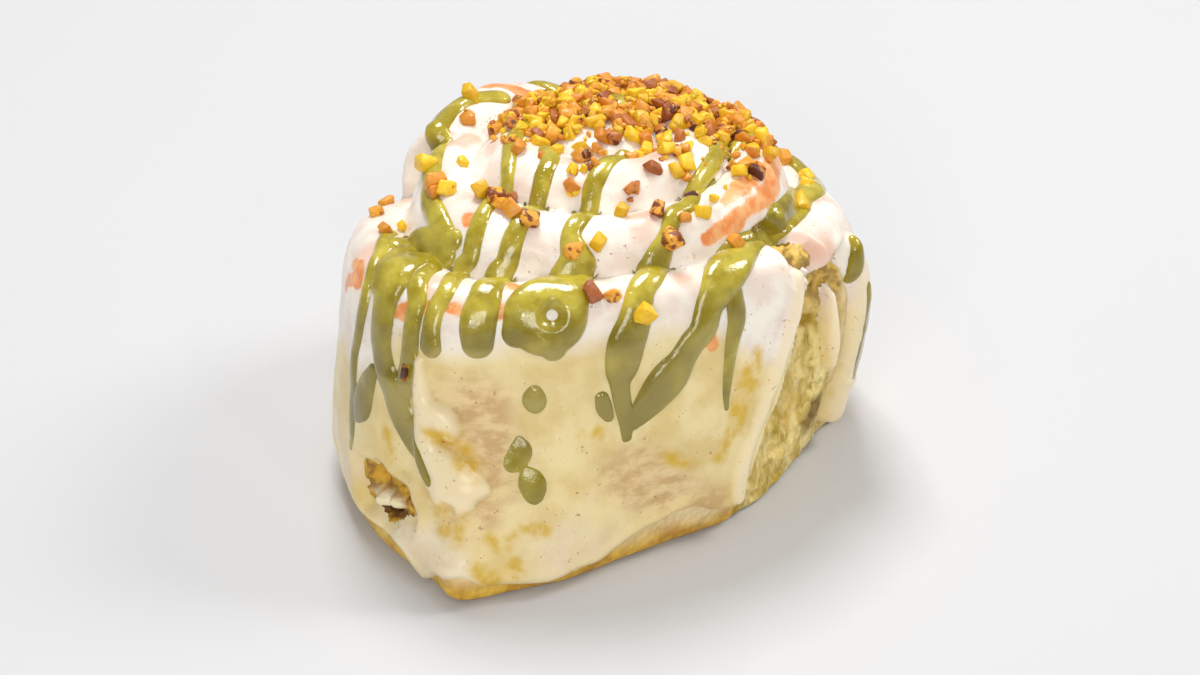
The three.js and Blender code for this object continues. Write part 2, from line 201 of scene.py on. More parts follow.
def relaxed(values, quads, rounds):
    """Values at the points, each moved towards the mean of its neighbours, rounds times."""
    count = len(values)
    starts = quads.ravel()
    ends = np.roll(quads, -1, axis=1).ravel()
    neighbours = np.bincount(starts, minlength=count) + np.bincount(ends, minlength=count)
    values = values.copy()
    for _ in range(rounds):
        for axis in range(values.shape[1]):
            column = values[:, axis]
            total = np.bincount(starts, column[ends], count) + np.bincount(ends, column[starts], count)
            values[:, axis] = 0.5 * column + 0.5 * total / neighbours
    return values


def lumps(points, size, seed):
    """A smooth random value from -1 to 1 at each point, with bumps of about size mm."""
    lattice = np.random.default_rng(seed).uniform(-1, 1, (32, 32, 32))
    scaled = points / size
    cell = np.floor(scaled).astype(int)
    part = scaled - cell
    part = part * part * (3 - 2 * part)
    total = np.zeros(len(points))
    for corner in np.ndindex(2, 2, 2):
        weight = np.prod(np.where(corner, part, 1 - part), axis=1)
        total += weight * lattice[tuple(((cell + corner) % 32).T)]
    return total


def soft_mesh(name, points, faces, **marks):
    """A smooth-shaded piece through points in mm, with a named value at each point for its finish."""
    mesh = bpy.data.meshes.new(name)
    mesh.from_pydata((points * MM).tolist(), [], list(faces))
    mesh.shade_smooth()
    for mark, values in marks.items():
        layer = mesh.attributes.new(mark, "FLOAT", "POINT")
        layer.data.foreach_set("value", np.asarray(values, np.float32))
    piece = bpy.data.objects.new(name, mesh)
    bpy.context.collection.objects.link(piece)
    return piece


def kept_faces(points, quads, keep, *values):
    """The quads with a kept corner, and the points and values that they use."""
    quads = quads[keep[quads].any(axis=1)]
    used, renumbered = np.unique(quads, return_inverse=True)
    return [points[used], renumbered.reshape(quads.shape)] + [v[used] for v in values]


def patch(degrees, height, at_degrees, at_height, wide, tall, tilt=0.0):
    """Distance in mm into an oval on the side of the roll, negative outside it."""
    across = np.radians((degrees - at_degrees + 180) % 360 - 180) * MEAN_RADIUS
    rise = height - at_height
    turn = math.radians(tilt)
    along = across * math.cos(turn) + rise * math.sin(turn)
    aside = rise * math.cos(turn) - across * math.sin(turn)
    return (1 - np.hypot(along / wide, aside / tall)) * min(wide, tall)


class Finish:
    """A finish under construction: its nodes, and the shader that they end in."""

    def __init__(self, name):
        self.material = bpy.data.materials.new(name)
        self.material.use_nodes = True
        self.tree = self.material.node_tree
        self.shader = self.tree.nodes["Principled BSDF"]
        self.place = self.node("ShaderNodeTexCoord").outputs["Object"]

    def node(self, kind, inputs=None, **settings):
        made = self.tree.nodes.new(kind)
        for key, value in settings.items():
            setattr(made, key, value)
        for key, value in (inputs or {}).items():
            self.feed(made.inputs[key], value)
        return made

    def feed(self, socket, value):
        if isinstance(value, bpy.types.NodeSocket):
            self.tree.links.new(value, socket)
        elif socket.type == "RGBA" and len(value) == 3:
            socket.default_value = (*value, 1.0)
        else:
            socket.default_value = value

    def set(self, **values):
        for key, value in values.items():
            self.feed(self.shader.inputs[key.replace("_", " ")], value)

    def mark(self, name):
        return self.node("ShaderNodeAttribute", attribute_name=name).outputs["Fac"]

    def noise(self, size, detail=4.0, rough=0.55, stretch=None):
        """Cloudy noise with features of about size mm, drawn out where stretch is below 1."""
        place = self.place
        if stretch:
            place = self.node("ShaderNodeMapping", {"Vector": place, "Scale": stretch}).outputs[0]
        inputs = {"Vector": place, "Scale": 1 / (size * MM), "Detail": detail, "Roughness": rough}
        return self.node("ShaderNodeTexNoise", inputs).outputs["Fac"]

    def cells(self, size):
        inputs = {"Vector": self.place, "Scale": 1 / (size * MM)}
        return self.node("ShaderNodeTexVoronoi", inputs).outputs["Distance"]

    def sums(self, operation, a, b):
        made = self.node("ShaderNodeMath", operation=operation)
        for socket, value in zip(made.inputs, (a, b)):
            self.feed(socket, value)
        return made.outputs[0]

    def spread(self, value, low, high, out_low=0.0, out_high=1.0):
        inputs = {"Value": value, "From Min": low, "From Max": high, "To Min": out_low, "To Max": out_high}
        return self.node("ShaderNodeMapRange", inputs, interpolation_type="SMOOTHSTEP").outputs[0]

    def blend(self, amount, a, b):
        made = self.node("ShaderNodeMix", data_type="RGBA")
        self.feed(made.inputs["Factor"], amount)
        self.feed(made.inputs[6], a)
        self.feed(made.inputs[7], b)
        return made.outputs[2]

    def bump(self, *layers):
        """Raise the surface by each (height, depth in mm) layer in turn."""
        normal = None
        for height, depth in layers:
            inputs = {"Height": height, "Distance": depth * MM}
            if normal:
                inputs["Normal"] = normal
            normal = self.node("ShaderNodeBump", inputs).outputs[0]
        self.set(Normal=normal)


base, quads = roll_surface()
base = relaxed(base, quads, 2)
normals = outward(base, quads)
around = np.degrees(np.arctan2(base[:, 1], base[:, 0]))
height = base[:, 2]
smoothed = relaxed(base, quads, int(16 / GRAIN ** 2))
hollow = np.einsum("ij,ij->i", smoothed - base, normals)  # mm: above 0 in a groove, below 0 on a crest

# Where the dough shows its inside: the torn flank with a notch over it, and one ragged pocket low on the
# left. Each oval is given by its degrees, height, half width, half height and tilt.
POCKET = (-133, 12.5, 7, 6, 10)
POCKET_LUMP = (-133.5, 11, 5, 2.2, 12)
POCKET_SLIT = (-134.5, 8.3, 4, 1.0, 14)
NOTCH = (-33, 50, 5, 6)
STAIN = (-20, 11, 5.5, 5)
TORN_TOP = 45.0  # mm
WHOLE_ABOVE = 54.0  # mm: no tear reaches above this
DEGREE = 0.7  # mm along the flank
ragged = 1.3 * lumps(base, 5, 11) + 0.7 * lumps(base, 2, 12)
past_edge = (around - flank_edge(height)) * DEGREE
before_column = (-17 + 14 * smooth_step(17, 10, height) - around) * DEGREE
flank = np.minimum.reduce([past_edge, before_column, TORN_TOP - height])
pocket = patch(around, height, *POCKET)
notch = patch(around, height, *NOTCH)
torn = np.maximum.reduce([flank, pocket, notch]) + ragged
torn[height > WHOLE_ABOVE] = -5
bare = smooth_step(-0.6, 0.6, torn)


def dough_finish():
    made = Finish("baked dough")
    torn_here, crust_here = made.mark("torn"), made.mark("crust")
    streaks = made.noise(5, 5, 0.6, (1.0, 1.0, 0.35))
    strands = made.noise(1.6, 6, 0.65, (1.0, 1.0, 0.35))
    crumb = made.blend(made.spread(streaks, 0.36, 0.62), (0.50, 0.33, 0.012), (0.94, 0.76, 0.32))
    crumb = made.blend(made.spread(strands, 0.50, 0.70, 0.0, 0.7), crumb, (0.34, 0.21, 0.012))
    amber = made.blend(made.spread(made.noise(2.4, 6), 0.38, 0.62), (0.30, 0.16, 0.01), (0.82, 0.52, 0.10))
    crumb = made.blend(made.sums("MULTIPLY", made.mark("amber"), 0.85), crumb, amber)
    crumb = made.blend(made.mark("stain"), crumb, (0.20, 0.105, 0.004))
    gold = made.blend(made.spread(made.noise(2.2, 5), 0.35, 0.65), (0.30, 0.13, 0.008), (0.72, 0.42, 0.035))
    crumb = made.blend(made.mark("pocket"), crumb, gold)
    crumb = made.blend(made.mark("lump"), crumb, (0.90, 0.78, 0.52))
    # Painted shadow in the slit under the pale lump.
    crumb = made.blend(made.mark("slit"), crumb, (0.10, 0.03, 0.008))
    skin = made.blend(made.spread(made.noise(6), 0.35, 0.65), (0.78, 0.56, 0.26), (0.88, 0.70, 0.40))
    crust = made.blend(made.spread(made.noise(4), 0.35, 0.65), (0.52, 0.26, 0.012), (0.80, 0.50, 0.06))
    colour = made.blend(crust_here, skin, crust)
    colour = made.blend(torn_here, colour, crumb)
    made.set(Base_Color=colour, Roughness=made.spread(made.noise(3), 0.3, 0.7, 0.4, 0.7))
    made.set(Subsurface_Weight=0.25, Subsurface_Radius=(1.0, 0.55, 0.2), Subsurface_Scale=0.003)
    made.bump((strands, 0.4), (made.cells(1.3), 0.3))
    return made.material


lump = smooth_step(0, 1.2, patch(around, height, *POCKET_LUMP) + 0.8 * lumps(base, 2.5, 51))
# The dark slit under the lump: a sunk crack, with painted shadow in it.
slit = smooth_step(-0.3, 0.6, patch(around, height, *POCKET_SLIT) + 0.3 * lumps(base, 2.5, 52))
fibres = lumps(base * (1, 1, 0.4), 1.4, 21) * 0.35 + lumps(base * (1, 1, 0.6), 0.8, 22) * 0.2
pits = -1.1 * smooth_step(0.25, 0.8, lumps(base, 3.0, 23))
pits = pits - 0.5 * smooth_step(0.2, 0.7, lumps(base, 1.5, 24))
sunken = smooth_step(0, 3, pocket) * (-1.8 + 1.6 * lumps(base, 2.6, 27)) + 2.2 * lump - 1.5 * slit
dough_relief = bare * (-0.9 + fibres + pits + sunken) + 0.12 * lumps(base, 4, 25)
flat_foot = smooth_step(0.2, 1.2, height)
crust = smooth_step(7, 2.5, height + 1.2 * lumps(base, 6, 26))
amber = np.maximum(smooth_step(33, 39, height) * smooth_step(-45, -36, around), smooth_step(-1, 3, notch))
stain = smooth_step(-0.5, 2.5, patch(around, height, *STAIN))
dough = soft_mesh("dough_coil", base + normals * (dough_relief * flat_foot)[:, None], quads,
                  torn=bare, crust=crust, amber=amber, stain=0.9 * stain,
                  pocket=smooth_step(-2, 0, pocket), lump=lump, slit=slit)
dough.data.materials.append(dough_finish())
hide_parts("dough_coil")
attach(dough, "root")


# ---------------------------------------------------------------------------------------------
# The icing. Warm cream-cheese icing is poured over the hot roll: it lies white on the top, fills the
# grooves, thins to a clear cream glaze as it runs down the front, and stops in a hem above the foot.
# Where it is thin on a crest, the toasted dough shows through, and one thick run hangs as a flap.

HEM = (  # (degrees, height in mm of the icing's lower edge)
    (-170, 10), (-160, 7), (-150, 4), (-140, 4), (-134, 4.5), (-128, 4), (-122, 1.5), (-118, 5),
    (-114, 6.5), (-110, 2.5), (-102, 2), (-94, 3.5), (-88, 5.5), (-80, 7), (-70, 7), (-62, 6), (-56, 5),
    (-46, 14), (-38, 36), (-30, 44), (-18, 44), (-14, 34), (-12, 10), (-4, 8), (4, 7), (14, 20), (27, 17),
    (40, 24), (51, 20), (61, 25), (76, 18), (88, 21), (101, 13), (112, 18), (124, 11), (139, 16), (151, 13),
    (162, 16),
)
ICING_DEPTH = 0.9  # mm on open ground
ICING_ROOT = 1.4  # mm that the coat dives under the dough past its edge
ICING_CLEARANCE = 0.6  # mm over the table
HUB = np.array([0, 0, 12.0])  # mm: places on a skin are given from here, as compass degrees and degrees up
FLAP_RISE = 1.2  # a thick run's height, as a share of its half width
FLAP_DEEPEST = 2.4  # mm
FLAP = (  # the thick runs, each through (compass degrees, degrees up, width in mm)
    ((-126.5, 29, 2), (-125.2, 22.3, 4), (-121.2, 20.1, 5), (-119.7, 18.1, 3.6), (-118.8, 17.2, 1.6)),
    ((-124.5, 20, 4), (-122.5, 14, 4.4), (-119, 11.5, 6.4), (-116, 9.9, 7.6), (-112.5, 9.2, 2.8)),
    ((-118, 9, 6.5), (-115, 7.5, 4.4), (-115.1, 4.9, 1.4)),
    ((-126, 22, 2.6), (-123.5, 12, 3), (-119, 6, 2.6)),
    ((-38, 41, 3), (-42, 33, 3.2), (-49, 20, 3), (-56, 4, 3), (-57, -6, 3)),
    ((-33, 40, 1), (-42, 24, 1.4), (-51, 8, 1.3), (-55, -2, 1)),
    ((-20.1, 31, 1.6), (-21.4, 22, 3), (-21, 14, 1.4)),
    ((-12, 36, 5), (-10, 22, 7), (-9, 8, 7), (-9, -6, 6)),
)
TOASTED = (  # where the toasted dough shows through, each a run of (compass degrees, degrees up, width)
    ((-58, 54.5, 1.6), (-48, 55.5, 2.4), (-36, 56, 2.6), (-25, 56, 2.4), (-14, 57, 2), (-4, 57, 1.5)),
    ((-46, 59, 1.6), (-33, 59.5, 2.4), (-20, 60, 2)),
    ((-153, 36, 2.5), (-150.5, 36.5, 3), (-146.5, 35.5, 2)),
    ((-152.5, 33.5, 2.4), (-150, 34.5, 2)),
    ((-134, 53.5, 1.5), (-132, 53, 2.5)),
    ((-133.4, 34.6, 1.4), (-128, 36.7, 1.2), (-123, 37.6, 1.6), (-119, 38.2, 1.6), (-114, 39.2, 1.6),
     (-109, 40.3, 1.2)),
    ((-114, 44.5, 1), (-110, 43.5, 1.6)),
    ((-66, 36.5, 1.4), (-64.5, 35, 1)),
    ((135, 57, 3), (125, 60, 4)),
    ((70, 50, 3), (95, 48, 2.5), (110, 50, 3)),
)
OCHRE_AND_SHADE = (  # painted brown shade under and beside the flap's thick runs, and browned dough and syrup showing through, low on the front
    ((-122.6, 17.4, 2), (-119.6, 17.2, 2.4)),
    ((-116.6, 15.5, 2.4), (-114.6, 12.6, 3)),
    ((-132.6, 13, 2), (-131.6, 10.5, 2.2)),
    ((-118.3, 4.5, 2), (-117.4, 1.5, 2.2)),
    ((-114.6, 3.6, 2.4), (-114.6, 0.5, 2.4)),
    ((-110.5, 1, 1.6), (-108.4, -1, 1.6), (-106, 1.4, 1.4), (-102.5, 1.5, 1.6)),
    ((-106.6, -5, 1.8), (-106.2, -6.6, 2)),
    ((-112, -3.6, 2), (-110, -6.5, 3)),
    ((-96, 20, 1), (-93, 20, 1.6)),
    ((-77, 12, 1.4), (-73, 9.5, 2.4), (-69, 8, 1.4)),
    ((-51.7, 30.5, 2.4), (-54.4, 25, 4.6), (-56.8, 19.8, 4.6), (-59, 14, 3.4)),
    ((-61, 11, 2.4), (-63, 8, 2)),
)


def run_in_runnels(points, around):
    """Slow waves that run down the side, as thick icing sets in runnels."""
    turned = np.radians(around)
    across = np.stack([np.cos(turned) * 30, np.sin(turned) * 30, points[:, 2] * 0.12], 1)
    return lumps(across, 5.5, 31) * 0.5 + lumps(across, 2.6, 32) * 0.2


STEPS_IN_RUN = 12  # between each two of its points
RUN_REACH = 3.0  # mm past a run's edge that its distances are worked out


def eased(points, steps):
    """A smooth run through points, with steps between each two."""
    points = np.array(points, float)
    points[:, 0] = np.degrees(np.unwrap(np.radians(points[:, 0])))
    padded = np.concatenate([2 * points[:1] - points[1:2], points, 2 * points[-1:] - points[-2:-1]])
    t = np.linspace(0, 1, steps, endpoint=False)[:, None]
    run = []
    for p0, p1, p2, p3 in zip(padded, padded[1:], padded[2:], padded[3:]):
        cubic = 3 * (p1 - p2) + p3 - p0
        square = 2 * p0 - 5 * p1 + 4 * p2 - p3
        run.append(p1 + 0.5 * t * (p2 - p0 + t * (square + t * cubic)))
    return np.concatenate(run + [points[-1:]])


def skin_tree(points, quads):
    return BVHTree.FromPolygons(points.tolist(), quads.tolist())


def landed(tree, compass, up):
    """The point of a skin seen from the hub at a compass angle and a tilt, in mm."""
    a, b = math.radians(compass), math.radians(up)
    way = np.array([math.cos(a) * math.cos(b), math.sin(a) * math.cos(b), math.sin(b)])
    return np.array(tree.ray_cast(Vector(HUB + way * 200), Vector(-way))[0])


def along_run(tree, points, route):
    """For each point, mm to the middle line of a run laid on the skin, and the run's half width there."""
    line = eased(route, STEPS_IN_RUN)
    places = np.array([landed(tree, a, b) for a, b, _ in line])
    halves = line[:, 2] / 2
    gap = np.full(len(points), 99.0)
    half = np.full(len(points), 0.1)
    reach = halves.max() + RUN_REACH
    near = ((points > places.min(axis=0) - reach) & (points < places.max(axis=0) + reach)).all(axis=1)
    apart = np.linalg.norm(points[near][:, None] - places[None], axis=2)
    best = (apart - halves).argmin(axis=1)
    gap[near] = apart[np.arange(len(best)), best]
    half[near] = halves[best]
    return gap, half


EDGE_FALL = 1.2  # mm that a coat dives under its ground for each mm past its edge


def domed(gap, half, share, tallest):
    """Height of a thick run: a round bead when narrow, a flat-topped one when wide, below 0 outside it."""
    top = tallest * np.tanh(share * half / tallest)
    flatness = 2 + np.clip(half - 2.5, 0, 4)
    bulge = top * np.sqrt(np.clip(1 - (gap / half) ** flatness, 0, 1))
    return np.where(gap < half, bulge, EDGE_FALL * (half - gap))


def scalloped(points, degrees):
    """Height of a hem that swings in rounded waves from each (degrees, height) point to the next."""
    angles, heights = np.array(points + ((points[0][0] + 360, points[0][1]),), float).T
    turned = (degrees - angles[0]) % 360 + angles[0]
    left = np.clip(np.searchsorted(angles, turned, side="right") - 1, 0, len(points) - 1)
    t = smooth_step(0, 1, (turned - angles[left]) / (angles[left + 1] - angles[left]))
    return heights[left] + (heights[left + 1] - heights[left]) * t


bare_skin = skin_tree(base, quads)
side_ward = 1 - smooth_step(0.35, 0.75, normals[:, 2])
hem = scalloped(HEM, around)
waver = (1.5 + 2 * (around > 10)) * lumps(base, 7, 33) * smooth_step(40, 5, height)
cover = np.minimum(height - hem + waver, -torn)  # mm in from the coat's edge
filled = 0.6 * np.clip(hollow, -0.15, 1.8)
bead = 0.5 * hump(cover, 1.6, 1.3) * side_ward
wrinkles = 0.22 * lumps(base * (1, 1, 2.2), 3.2, 39) * smooth_step(42, 50, height) * (1 - 0.6 * side_ward)
runnels = run_in_runnels(base, around) * side_ward * 0.8
swell = runnels + 0.28 * lumps(base, 9, 34) + 0.1 * lumps(base, 3.5, 35)
flap = np.max([domed(*along_run(bare_skin, base, run), FLAP_RISE, FLAP_DEEPEST) for run in FLAP], axis=0)
flap_covers = smooth_step(-0.2, 0.1, flap)
cover = np.maximum(cover, np.where(flap_covers > 0.5, 1.2, -9))
coat = ICING_DEPTH * np.sqrt(np.clip(cover / 1.4, 0, 1))
relief = (filled + bead + swell + wrinkles) * np.clip(cover / 1.5, 0, 1)
thick = np.where(cover > 0, coat + relief, -ICING_ROOT * np.clip(-cover / 0.9, 0, 1))

# The front rubbed against its neighbour in three ovals, which left the glaze thin, dull and fibrous there.
RUBBED = ((-115.5, 27, 8, 14, 4), (-80, 17, 12, 7, -28), (-66, 9, 6, 3, -30))
rubbed = np.maximum.reduce([patch(around, height, *oval) for oval in RUBBED])
rubbed = smooth_step(-2.5, 4, rubbed + 1.6 * lumps(base, 4, 40)) * (1 - flap_covers)
fibre = lumps(base * (1, 1, 1.6), 3.4, 42)
worn = np.maximum(thick - rubbed * (0.6 + 0.14 * fibre), 0.25 + 0.1 * fibre)
thick = np.where(cover > 1, worn, thick)
thick = relaxed(thick[:, None], quads, 2)[:, 0] + np.maximum(flap, 0)
icing_points = base + normals * thick[:, None]
icing_points = relaxed(icing_points, quads, 2)
icing_points[:, 2] = np.maximum(icing_points[:, 2], ICING_CLEARANCE)

# Marks for the finish: toast on the crests, painted pink shade on the crests, painted brown shade low on the
# front, and the clear glaze low on the sides.


def patches_along(runs):
    """From 0 to 1 at each point along the runs, with soft, uneven edges: toast that shows through the icing,
    and painted brown shade.
    """
    soft_edge = 0.6 * lumps(base, 2, 37) + 0.7 * lumps(base, 4, 48)
    reaches = [along_run(bare_skin, base, run) for run in runs]
    return np.max([smooth_step(-1.4, 0.8, half - gap + soft_edge) for gap, half in reaches], axis=0)


# The second set is partly painted brown shade under and beside the flap's thick runs, and partly browned
# dough showing through.
toast, ochre_and_shade = patches_along(TOASTED), patches_along(OCHRE_AND_SHADE)
crest = smooth_step(0.05, 0.35, -hollow) * smooth_step(40, 47, height)
# Painted pink shade, in patches on the crests of the upper turns.
painted_pink_shade = crest * smooth_step(0.0, 0.7, lumps(base, 6, 36) + 0.4 * lumps(base, 2.5, 43))
FILM_TOP = 45.5  # mm: where the clear glaze starts on the front
FILM_DROP = 12.0  # mm lower at the front's two ends
glaze_line = FILM_TOP + 0.8 * lumps(base, 8, 38)
glaze_line = glaze_line - FILM_DROP * smooth_step(-72, -45, around) * smooth_step(20, -20, around)
glaze_line = glaze_line - FILM_DROP * smooth_step(-128, -142, around) * (around < 0)
behind = smooth_step(-20, 20, around) + smooth_step(-150, -170, around)
glaze_line = glaze_line - behind * (10 - 9 * lumps(base * (1, 1, 0.2), 11, 55))
clear = smooth_step(3.5, -3.5, height - glaze_line + 1.5 * lumps(base, 5, 47))
white_run = smooth_step(19, 10, height + 4 * lumps(base, 8, 53)) * smooth_step(-80, -100, around)
white_run = white_run * smooth_step(-0.5, 0.4, lumps(base, 7, 54)) * (around < 0)
clear = clear * (1 - 0.5 * white_run)


def icing_finish():
    made = Finish("white icing")
    clear_here, toast_here, rubbed_here = made.mark("clear"), made.mark("toast"), made.mark("rubbed")
    milk = made.blend(made.spread(made.noise(7, 3), 0.35, 0.65), (0.84, 0.72, 0.62), (0.95, 0.88, 0.78))
    # Painted pink shade on the crests.
    milk = made.blend(made.sums("MULTIPLY", made.mark("painted_pink_shade"), 0.8), milk, (0.80, 0.47, 0.33))
    glaze = made.blend(made.spread(made.noise(8, 5), 0.35, 0.65), (0.75, 0.58, 0.24), (0.86, 0.72, 0.38))
    glaze = made.blend(made.sums("MULTIPLY", made.mark("low"), 0.4), glaze, (0.84, 0.62, 0.20))
    colour = made.blend(clear_here, milk, glaze)
    colour = made.blend(made.sums("MULTIPLY", made.mark("flap"), 0.75), colour, (0.90, 0.77, 0.52))
    streaks = made.noise(4.5, 6, 0.6, (1.0, 1.0, 1.8))
    dull = made.blend(made.spread(streaks, 0.38, 0.62), (0.60, 0.38, 0.16), (0.80, 0.61, 0.32))
    colour = made.blend(made.sums("MULTIPLY", rubbed_here, 0.9), colour, dull)
    mottle = made.noise(2.5, 5)
    toasted = made.blend(made.spread(mottle, 0.35, 0.65), (0.90, 0.45, 0.16), (0.82, 0.22, 0.015))
    patchy = made.spread(made.sums("ADD", toast_here, made.noise(1.6, 5)), 0.75, 1.15)
    colour = made.blend(made.sums("MULTIPLY", toast_here, 0.45), colour, (0.90, 0.58, 0.36))
    colour = made.blend(made.sums("MULTIPLY", patchy, 0.9), colour, toasted)
    # Painted brown shade under and beside the flap's runs, with browned dough, mottled.
    browned_and_shaded = made.sums("MULTIPLY", made.mark("ochre_and_shade"), made.spread(mottle, 0.35, 0.6, 0.25, 0.95))
    colour = made.blend(browned_and_shaded, colour, (0.68, 0.43, 0.025))
    here_and_there = made.spread(made.noise(6), 0.5, 0.6)
    speck = made.sums("MULTIPLY", made.spread(made.noise(0.8, 2), 0.64, 0.72), here_and_there)
    colour = made.blend(made.sums("MULTIPLY", speck, 0.7), colour, (0.36, 0.13, 0.05))
    made.set(Base_Color=colour, Roughness=made.spread(rubbed_here, 0.0, 1.0, 0.3, 0.6))
    made.set(Subsurface_Weight=0.3, Subsurface_Radius=(1.0, 0.6, 0.35), Subsurface_Scale=0.002)
    made.bump((made.noise(2.2, 4), 0.14), (made.noise(0.5, 2), 0.03))
    return made.material


low = smooth_step(16, 3, height + 3 * lumps(base, 9, 44))
marks = {"clear": clear, "toast": toast, "ochre_and_shade": ochre_and_shade, "rubbed": rubbed, "painted_pink_shade": painted_pink_shade, "low": low,
         "flap": smooth_step(0.2, 1.2, flap)}
coated = (thick > -1.2) & (height > 1.0)
shown, shown_quads, *shown_marks = kept_faces(icing_points, quads, coated, *marks.values())
icing = soft_mesh("white_icing", shown, shown_quads, **dict(zip(marks, shown_marks)))
icing.data.materials.append(icing_finish())
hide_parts("white_icing")
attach(icing, "root")


# ---------------------------------------------------------------------------------------------
# The pistachio sauce. Smooth green sauce is squeezed from a bottle in strands across the iced roll.
# It drapes over the turns, pools in the grooves, and runs down the front in fat drips with round tips.
# The clear glaze ran over its lower ends, so they look paler below the glaze's upper edge.

SAUCE = {  # each strand's runs, through (compass degrees, degrees up, width in mm)
    "sauce_far_left": (
        ((-155.7, 43.3, 1.8), (-148.1, 40.7, 2.2), (-143.7, 37, 2), (-141.9, 33, 2), (-142.6, 28, 2),
         (-144.2, 22.8, 2.1), (-144.2, 14, 2.3), (-143.3, 5.5, 1.4)),
        ((-138, 23, 1.8), (-139.6, 19, 4.2), (-140.4, 15.5, 5.2), (-142, 12.5, 2.6)),
    ),
    "sauce_left_fall": (
        ((140, 62, 3.6), (156, 58, 4), (172, 57, 4.2), (-170, 56, 4.4), (-157, 54, 4), (-150, 52, 3.6),
         (-144, 51, 3.8), (-138, 49, 4.6)),
        ((-133.6, 48.8, 3.4), (-137.7, 47.2, 5), (-145.2, 45.4, 5), (-149, 43, 3.6)),
        ((-133.6, 46.1, 3), (-137.9, 43.3, 6.6), (-138, 40.8, 8), (-137, 38, 6.6), (-136.5, 35.3, 5.3),
         (-136, 32, 4.9), (-135.7, 28, 4.5), (-134.5, 24.3, 4.9), (-132, 21.7, 5.5), (-130, 18.4, 5),
         (-126.8, 14.7, 4.1), (-123.5, 11.3, 2.6), (-121.4, 9, 1.2)),
        ((-145, 43.5, 4), (-142, 40.5, 4.4), (-139.5, 37, 4)),
    ),
    "sauce_left_branch": (
        ((-134, 43, 3.4), (-132, 40.4, 3.3), (-129.3, 37.4, 3), (-128.7, 33.6, 2.8), (-128.5, 29.7, 3),
         (-129, 25.9, 3.4), (-130, 22.5, 3.8)),
    ),
    "sauce_front_left": (
        ((160, 74, 3), (-177, 73, 3), (-155, 69.5, 2.8), (-140, 65, 2.7), (-134, 60, 2.6), (-130, 55, 2.6),
         (-128, 51, 2.9), (-127, 47.3, 3), (-128.5, 44.8, 3), (-125, 41, 2.8), (-124.8, 37.4, 2.8),
         (-124.5, 34, 3), (-124.2, 31.5, 3.6)),
    ),
    "sauce_front_wide": (
        ((-140, 75, 3), (-127, 72, 3), (-122, 67, 2.8), (-120, 62, 2.6), (-118, 57, 2.8),
         (-117.3, 52.5, 3.2), (-117.3, 48.8, 3.3), (-118.5, 45.7, 4.2), (-116.6, 41, 5.2),
         (-116.3, 36.9, 5.6), (-115.9, 34, 4.8)),
    ),
    "sauce_pool": (
        ((-75, 78, 3), (-90, 74, 3), (-97, 68, 2.8), (-98, 64, 2.6), (-100, 60, 2.9), (-101.5, 56, 2.9),
         (-99.5, 52.5, 4.5), (-98.5, 51, 5.5)),
        ((-99.5, 50, 6), (-100.5, 46.5, 8), (-102.5, 43, 11.5), (-103.5, 40.5, 13.5)),
        ((-108, 40, 6), (-109, 37, 4.5)),
        ((-101.5, 39, 8), (-101.5, 35.5, 4)),
        ((-105, 27.5, 2.2), (-105, 26, 3.6), (-104.8, 24.8, 2)),
        ((-107.4, 18, 1.4), (-107.1, 15.8, 3.8), (-108.2, 13.6, 2.8), (-108.6, 14.8, 2)),
        ((-105.2, 12, 2), (-104.3, 10.1, 4.4), (-103.6, 7.8, 2.6), (-103.2, 10.5, 2)),
        ((-91.5, 27, 2), (-91, 25, 2.4), (-90, 23, 1.5)),
    ),
    "sauce_middle": (
        ((-28, 67, 3.2), (-35, 66.5, 3.2), (-47, 65, 2.8), (-60, 61, 2.8), (-66, 60, 2.9), (-71, 56, 2.6),
         (-75, 52.5, 4.4), (-79, 49, 4.6), (-82, 46, 4.2), (-84, 41, 5.2), (-86, 37, 6.2), (-87, 33, 5.4),
         (-87.5, 30, 3.2), (-87, 26, 2.6), (-86, 22, 2.7), (-86, 18, 1.6)),
    ),
    "sauce_long_right": (
        ((30, 44, 4.2), (14, 42.5, 4.6), (-6.5, 48.2, 5.6), (-28, 50.7, 5.4), (-38.8, 50.3, 4.4),
         (-48, 49.7, 5.4), (-55.5, 47.8, 7), (-60, 45.2, 6.6), (-64.5, 42, 5), (-67, 38, 5), (-70, 36, 4.8),
         (-73, 33, 5), (-76, 30, 6.8), (-79, 27, 6), (-82, 24, 4.4), (-85, 21, 2.5)),
    ),
    "sauce_right_branch": (
        ((-58, 44.5, 3.4), (-57.5, 41, 3.2), (-57.5, 38, 3.2), (-59, 34, 2.4), (-60, 30, 1.7),
         (-61, 24, 1.1), (-61, 20, 0.8)),
    ),
    "sauce_right_coil": (((40, 60, 3), (20, 61, 3), (7, 62, 3), (-14, 67.5, 3.3), (-26, 67, 3)),),
    "sauce_back_left": (
        ((60, 84, 4), (85, 80, 4.6), (87, 72, 4.9), (95, 62, 4.5), (110, 52, 5), (117, 42, 5), (120, 28, 5),
         (121, 16, 4)),
    ),
    "sauce_back_right": (((66, 56, 4), (70, 46, 5), (72, 36, 5), (73, 24, 4)),),
    "sauce_right_side": (
        ((-13.2, 37, 1.6), (-14.4, 34.8, 2.6), (-15.4, 32.4, 2.6), (-15.8, 30.8, 1.4)),
        ((-12.6, 27, 1.2), (-11.6, 22, 2.4), (-10.6, 16, 3), (-9.4, 9, 3), (-9, 4, 1.6)),
    ),
}
HOLE = (-102.2, 40.8, 2.0)  # compass, up and width of the one gap in the pool, where the icing shows
SAUCE_RISE = 0.5  # a strand's height, as a share of its half width
SAUCE_DEEPEST = 1.7  # mm
SAUCE_SPREAD = 0.3  # mm that a strand settles outwards on each side
DRIP_THINNING = 0.65  # share of its height that a strand loses low on the side
